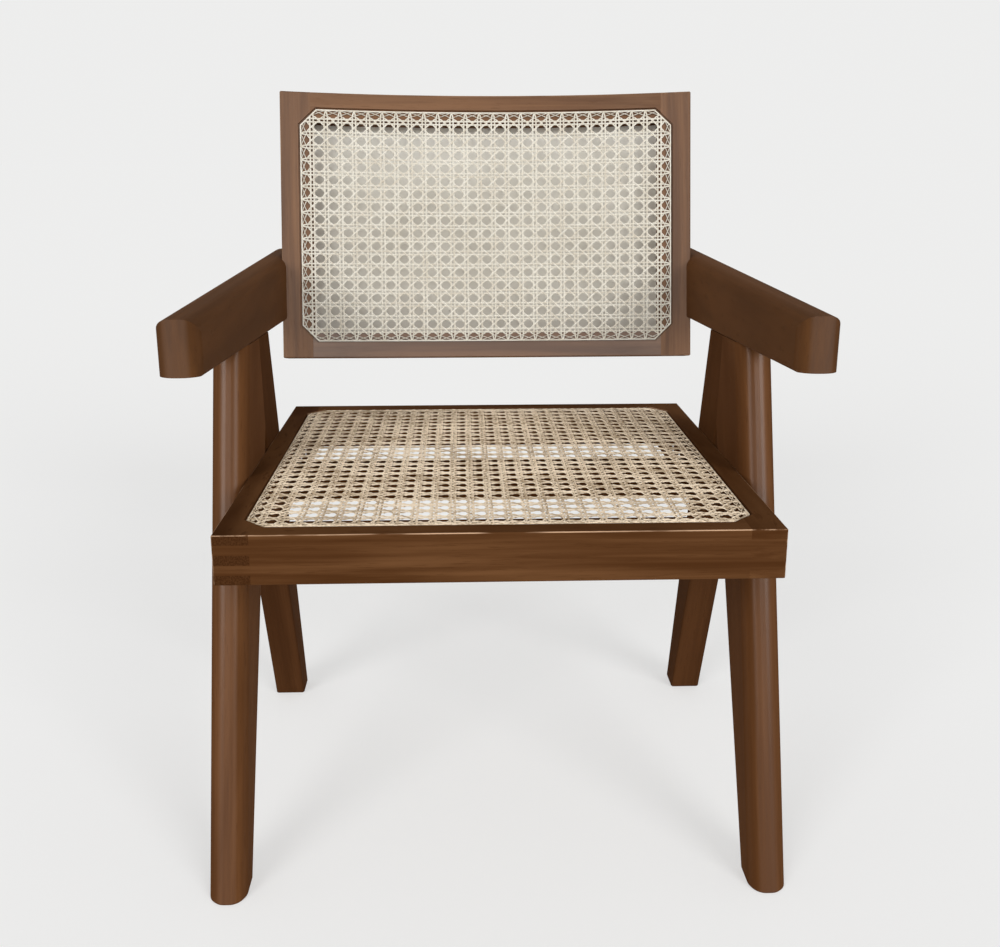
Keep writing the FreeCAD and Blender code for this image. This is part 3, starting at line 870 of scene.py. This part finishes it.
class CHAIR_OT_armrests(bpy.types.Operator):
    """Oil the armrests, their plugs and the hidden dowels"""

    bl_idname = "chair.armrests"
    bl_label = "Finish armrests"

    def execute(self, context):
        tones = context.scene.chair_finishes
        arm = wood(
            "armrest_wood", ALONG_ARM, tones.arm_light, tones.arm_dark, gloss=0.22, end=0.0, polish=0.6
        )
        dowel = wood("dowel_wood", along_upright(0), DOWEL_LIGHT, DOWEL_DARK, gloss=0.2)
        paint(("left_armrest", "right_armrest", "arm_plugs"), arm)
        paint(("arm_dowels", "leg_dowels"), dowel)
        return {"FINISHED"}


class CHAIR_OT_legs(bpy.types.Operator):
    """Oil the legs with the grain along each leg"""

    bl_idname = "chair.legs"
    bl_label = "Finish legs"

    def execute(self, context):
        tones = context.scene.chair_finishes
        way = along_upright(FRONT_LEG_LEAN)
        front = wood(
            "front_leg_wood", way, tones.front_leg_light, tones.front_leg_dark, gloss=0.08, polish=0.42
        )
        way = along_upright(REAR_LEG_LEAN)
        # Darker tones than the front legs: painted shade from the seat above.
        rear = wood("rear_leg_wood", way, tones.shaded_rear_leg_light, tones.shaded_rear_leg_dark, gloss=0.04)
        paint(("left_front_leg", "right_front_leg"), front)
        paint(("left_rear_leg", "right_rear_leg"), rear)
        return {"FINISHED"}


class CHAIR_OT_seat_frame(bpy.types.Operator):
    """Oil the seat's rails and brace, with arrises that are worn and carry painted highlight, and painted
    shade on the brace
    """

    bl_idname = "chair.seat_frame"
    bl_label = "Finish seat frame"

    def execute(self, context):
        tones = context.scene.chair_finishes
        light = tones.rail_light
        dark = tones.rail_dark
        dull = 0.02
        cross = wood("seat_cross_wood", ALONG_X, light, dark, gloss=dull, wear_and_highlight=0.9)
        left = wood("seat_left_wood", ALONG_Y, light, tones.left_rail_dark, gloss=dull, wear_and_highlight=0.5)
        right = wood("seat_right_wood", ALONG_Y, light, dark, gloss=dull, wear_and_highlight=0.5, end=0.1)
        # The brace takes the rear legs' darker tones: painted shade under the seat.
        brace = wood("seat_brace_shaded_wood", ALONG_X, tones.shaded_rear_leg_light, tones.shaded_rear_leg_dark, gloss=dull)
        paint(("seat_front_rail", "seat_rear_rail"), cross)
        paint(("seat_middle_brace",), brace)
        paint(("seat_left_rail",), left)
        paint(("seat_right_rail",), right)
        return {"FINISHED"}


class CHAIR_OT_back_frame(bpy.types.Operator):
    """Oil the back's stiles and rails"""

    bl_idname = "chair.back_frame"
    bl_label = "Finish back frame"

    def execute(self, context):
        tones = context.scene.chair_finishes
        upright = along_upright(context.scene.chair_places.back_tilt)

        def back_wood(name, turn, gloss, polish=0.0):
            light = tones.back_light
            dark = tones.back_dark
            return wood(name, turn, light, dark, gloss, wear_and_highlight=0.25, polish=polish, tint=PALE_SHEEN)

        stile = back_wood("back_stile_wood", upright, gloss=0.4)
        top = back_wood("back_top_wood", ALONG_X, gloss=0.3)
        bottom = back_wood("back_bottom_wood", ALONG_X, gloss=0.4, polish=1.0)
        paint(("back_left_stile", "back_right_stile"), stile)
        paint(("back_top_rail",), top)
        paint(("back_bottom_rail",), bottom)
        return {"FINISHED"}


class CHAIR_OT_screws(bpy.types.Operator):
    """Give the hidden screws a brushed steel"""

    bl_idname = "chair.screws"
    bl_label = "Finish screws"

    def execute(self, context):
        material, tree, shader = new_material("screw_steel")
        shader.inputs["Base Color"].default_value = opaque(STEEL)
        shader.inputs["Metallic"].default_value = 1
        coordinates = tree.nodes.new("ShaderNodeTexCoord")
        brushed = stretched_noise(tree, coordinates.outputs["Object"], stretch=0.05, scale=900, detail=2)
        tree.links.new(spread(tree, brushed, 0.1, 1.4), shader.inputs["Roughness"])
        paint(("seat_screws", "back_screws"), material)
        return {"FINISHED"}


def show_cane(pieces, node, turns, pale, deep):
    """Cane pieces stand for a CAD panel and ride on the chair."""
    for piece, (kind, turn) in zip(pieces, turns):
        piece.data.materials.clear()
        piece.data.materials.append(cane_strand(f"{node}_{kind}", turn, pale, deep))
        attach(piece, "root")
        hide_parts(node)


class CHAIR_OT_seat_cane(bpy.types.Operator):
    """Weave the seat's cane"""

    bl_idname = "chair.seat_cane"
    bl_label = "Weave seat"

    def execute(self, context):
        cane = context.scene.chair_cane
        places = context.scene.chair_places
        low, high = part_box("seat_cane")
        half_width = (high.x - low.x) / 2
        half_depth = (high.y - low.y) / 2
        margin = cane.seat_end_margin
        pieces = weave("seat_weave", half_width, half_depth, cane.seat_columns, cane.seat_rows, margin, cane)
        middle = places.seat_depth / 2
        drop = places.seat_cane_drop
        location = (
            0,
            places.seat_front + middle * math.cos(places.seat_tilt) - drop * math.sin(places.seat_tilt),
            places.seat_height - middle * math.sin(places.seat_tilt) - drop * math.cos(places.seat_tilt),
        )
        place(pieces, location, places.seat_tilt)
        turns = (("upright", ALONG_Y), ("level", ALONG_X), ("slant", (0, 0, math.pi / 4)), ("edge", ALONG_X))
        tones = context.scene.chair_finishes
        show_cane(pieces, "seat_cane", turns, tones.seat_cane_pale, tones.seat_cane_deep)
        return {"FINISHED"}


def back_radius(places, depth):
    """Radius of the back's curve at a depth behind its front face."""
    return (places.back_half_width ** 2 + places.back_sag ** 2) / (2 * places.back_sag) + depth


def back_arc(places, node, depth):
    """Half the length of a back panel along its curve."""
    low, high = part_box(node)
    radius = back_radius(places, depth)
    return radius * math.asin((high.x - low.x) / 2 / radius)


FRONTWARD = 1
REARWARD = -1


def hang_in_back(places, pieces, depth, facing):
    """Stand flat pieces up, bend them to the back's curve and lean them into place."""
    radius = back_radius(places, depth)
    for piece in pieces:
        piece.rotation_euler.x = facing * math.pi / 2
        settle(piece)
        curve = piece.modifiers.new("curve", "SIMPLE_DEFORM")
        curve.deform_method = "BEND"
        curve.deform_axis = "Z"
        across = [vertex.co.x for vertex in piece.data.vertices]
        curve.angle = -(max(across) - min(across)) / radius
        apply_modifiers(piece)
    middle = places.back_height / 2
    behind = places.back_sag + depth
    lean = places.back_tilt
    location = (
        0,
        places.seat_front + places.back_setback + behind * math.cos(lean) + middle * math.sin(lean),
        places.back_bottom - behind * math.sin(lean) + middle * math.cos(lean),
    )
    place(pieces, location, lean)


def weave_back(context, name, node, depth, facing):
    """One layer of the back's cane."""
    cane = context.scene.chair_cane
    places = context.scene.chair_places
    half_arc = back_arc(places, node, depth)
    half_height = places.back_cane_half_height
    pieces = weave(name, half_arc, half_height, cane.back_columns, cane.back_rows, cane.edge_margin, cane)
    hang_in_back(places, pieces, depth, facing)
    upright = along_upright(places.back_tilt)
    slant = (0, math.pi / 4, 0)
    turns = (("upright", upright), ("level", ALONG_X), ("slant", slant), ("edge", ALONG_X))
    tones = context.scene.chair_finishes
    show_cane(pieces, node, turns, tones.back_cane_pale, tones.back_cane_deep)


class CHAIR_OT_back_front_cane(bpy.types.Operator):
    """Weave the cane on the back's front face"""

    bl_idname = "chair.back_front_cane"
    bl_label = "Weave back, front"

    def execute(self, context):
        depth = context.scene.chair_places.back_front_depth
        weave_back(context, "back_front_weave", "back_front_cane", depth, FRONTWARD)
        return {"FINISHED"}


class CHAIR_OT_back_rear_cane(bpy.types.Operator):
    """Weave the cane on the back's rear face"""

    bl_idname = "chair.back_rear_cane"
    bl_label = "Weave back, rear"

    def execute(self, context):
        depth = context.scene.chair_places.back_rear_depth
        weave_back(context, "back_rear_weave", "back_rear_cane", depth, REARWARD)
        return {"FINISHED"}


class CHAIR_OT_back_lining(bpy.types.Operator):
    """Line the rear cane with a thin cloth on its inner face"""

    bl_idname = "chair.back_lining"
    bl_label = "Line the back"

    def execute(self, context):
        cane = context.scene.chair_cane
        places = context.scene.chair_places
        depth = places.lining_depth
        half_width = back_arc(places, "back_rear_cane", depth)
        half_height = places.back_cane_half_height
        deselect()
        bpy.ops.mesh.primitive_grid_add(x_subdivisions=40, y_subdivisions=8, size=2)
        lining = context.active_object
        lining.name = "back_lining"
        lining.scale = (half_width, half_height, 1)
        settle(lining)
        slice_off(lining, corner_planes(half_width, half_height, cane.corner))
        thicken(lining, places.lining_thickness)
        apply_modifiers(lining)
        hang_in_back(places, [lining], depth, FRONTWARD)
        only(lining)
        bpy.ops.object.shade_smooth_by_angle(angle=SMOOTH_UNDER)
        lining.data.materials.clear()
        low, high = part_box("back_rear_cane")
        tones = context.scene.chair_finishes
        cloth = lining_cloth(tones.lining_deep, tones.lining_painted_light, (low.z + high.z) / 2, high.z)
        lining.data.materials.append(cloth)
        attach(lining, "root")
        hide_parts("back_rear_cane")
        return {"FINISHED"}


FLOOR_SIZE = 60
SENSOR_WIDTH = 36


def seen_rays(tree):
    """1 for the rays that show the background: straight, mirrored or through glass."""
    path = tree.nodes.new("ShaderNodeLightPath")
    seen = math_node(tree, "MAXIMUM", path.outputs["Is Camera Ray"], path.outputs["Is Glossy Ray"])
    return math_node(tree, "MAXIMUM", seen, path.outputs["Is Transmission Ray"])


def show_mix(tree, share, first, second, output):
    """Mix two shaders and lead them to the output."""
    choose = tree.nodes.new("ShaderNodeMixShader")
    for socket, given in zip(choose.inputs, (share, first, second)):
        tree.links.new(given, socket)
    tree.links.new(choose.outputs["Shader"], tree.nodes[output].inputs["Surface"])


def floor_paper(stage):
    """Pale paper, of which a share is lit and takes the shadow."""
    material, tree, shader = new_material("floor_paper")
    shader.inputs["Base Color"].default_value = opaque(stage.floor_colour)
    shader.inputs["Roughness"].default_value = 1
    shader.inputs["Specular IOR Level"].default_value = 0
    even = tree.nodes.new("ShaderNodeEmission")
    lamps = 2 * stage.lamp_light * math.sin(stage.lamp_height) / math.pi
    lit = (stage.room_light + lamps) * stage.floor_shade
    tones = zip(stage.backdrop_colour, stage.floor_colour)
    level = [(far - lit * near) / (1 - stage.floor_shade) for far, near in tones]
    even.inputs["Color"].default_value = opaque(level)
    share = math_node(tree, "MULTIPLY", seen_rays(tree), 1 - stage.floor_shade)
    show_mix(tree, share, shader.outputs["BSDF"], even.outputs["Emission"], "Material Output")
    return material


class CHAIR_OT_stage(bpy.types.Operator):
    """Set up the pale floor, the soft light and the camera"""

    bl_idname = "chair.stage"
    bl_label = "Set the stage"

    def execute(self, context):
        stage = context.scene.chair_stage
        scene = context.scene
        scene.view_settings.view_transform = "Standard"

        deselect()
        bpy.ops.mesh.primitive_plane_add(size=FLOOR_SIZE)
        floor = context.active_object
        floor.name = "floor"
        floor.data.materials.append(floor_paper(stage))

        world = bpy.data.worlds.new("studio")
        world.use_nodes = True
        scene.world = world
        tree = world.node_tree
        light = tree.nodes["Background"]
        light.inputs["Color"].default_value = (1, 1, 1, 1)
        light.inputs["Strength"].default_value = stage.room_light
        backdrop = tree.nodes.new("ShaderNodeBackground")
        backdrop.inputs["Color"].default_value = opaque(stage.backdrop_colour)
        lights = (light.outputs["Background"], backdrop.outputs["Background"])
        show_mix(tree, seen_rays(tree), *lights, "World Output")

        for side, sign in (("left", -1), ("right", 1)):
            aim = (math.pi / 2 - stage.lamp_height, 0, sign * stage.lamp_turn)
            bpy.ops.object.light_add(type="SUN", rotation=aim)
            lamp = context.active_object
            lamp.name = f"{side}_lamp"
            lamp.data.angle = stage.lamp_spread
            lamp.data.energy = stage.lamp_light

        pitch = math.pi / 2 - stage.camera_pitch
        bpy.ops.object.camera_add(location=stage.camera_place, rotation=(pitch, 0, -stage.camera_turn))
        camera = context.active_object
        camera.data.sensor_width = SENSOR_WIDTH
        camera.data.lens = stage.camera_lens
        camera.data.shift_x = stage.shift_across
        camera.data.shift_y = stage.shift_up
        scene.camera = camera
        return {"FINISHED"}


class CHAIR_PT_panel(bpy.types.Panel):
    """Steps that dress the armchair"""

    bl_label = "Cane armchair"
    bl_idname = "CHAIR_PT_panel"
    bl_space_type = "VIEW_3D"
    bl_region_type = "UI"
    bl_category = "Cane armchair"

    def draw(self, context):
        for step in STEPS:
            self.layout.operator(step.bl_idname)


PROPERTIES = {
    "chair_cane": CaneSizes,
    "chair_places": FramePlaces,
    "chair_finishes": Finishes,
    "chair_stage": StageSizes,
}
STEPS = (
    CHAIR_OT_stage,
    CHAIR_OT_armrests,
    CHAIR_OT_legs,
    CHAIR_OT_seat_frame,
    CHAIR_OT_back_frame,
    CHAIR_OT_screws,
    CHAIR_OT_seat_cane,
    CHAIR_OT_back_front_cane,
    CHAIR_OT_back_rear_cane,
    CHAIR_OT_back_lining,
)


def register():
    for group in PROPERTIES.values():
        bpy.utils.register_class(group)
    for name, group in PROPERTIES.items():
        setattr(bpy.types.Scene, name, PointerProperty(type=group))
    for step in (*STEPS, CHAIR_PT_panel):
        bpy.utils.register_class(step)


def unregister():
    for step in reversed((*STEPS, CHAIR_PT_panel)):
        bpy.utils.unregister_class(step)
    for name, group in PROPERTIES.items():
        delattr(bpy.types.Scene, name)
        bpy.utils.unregister_class(group)


def main():
    register()
    bpy.ops.chair.stage()
    bpy.ops.chair.armrests()
    bpy.ops.chair.legs()
    bpy.ops.chair.seat_frame()
    bpy.ops.chair.back_frame()
    bpy.ops.chair.screws()
    bpy.ops.chair.seat_cane()
    bpy.ops.chair.back_front_cane()
    bpy.ops.chair.back_rear_cane()
    bpy.ops.chair.back_lining()


if __name__ == "__main__":
    main()
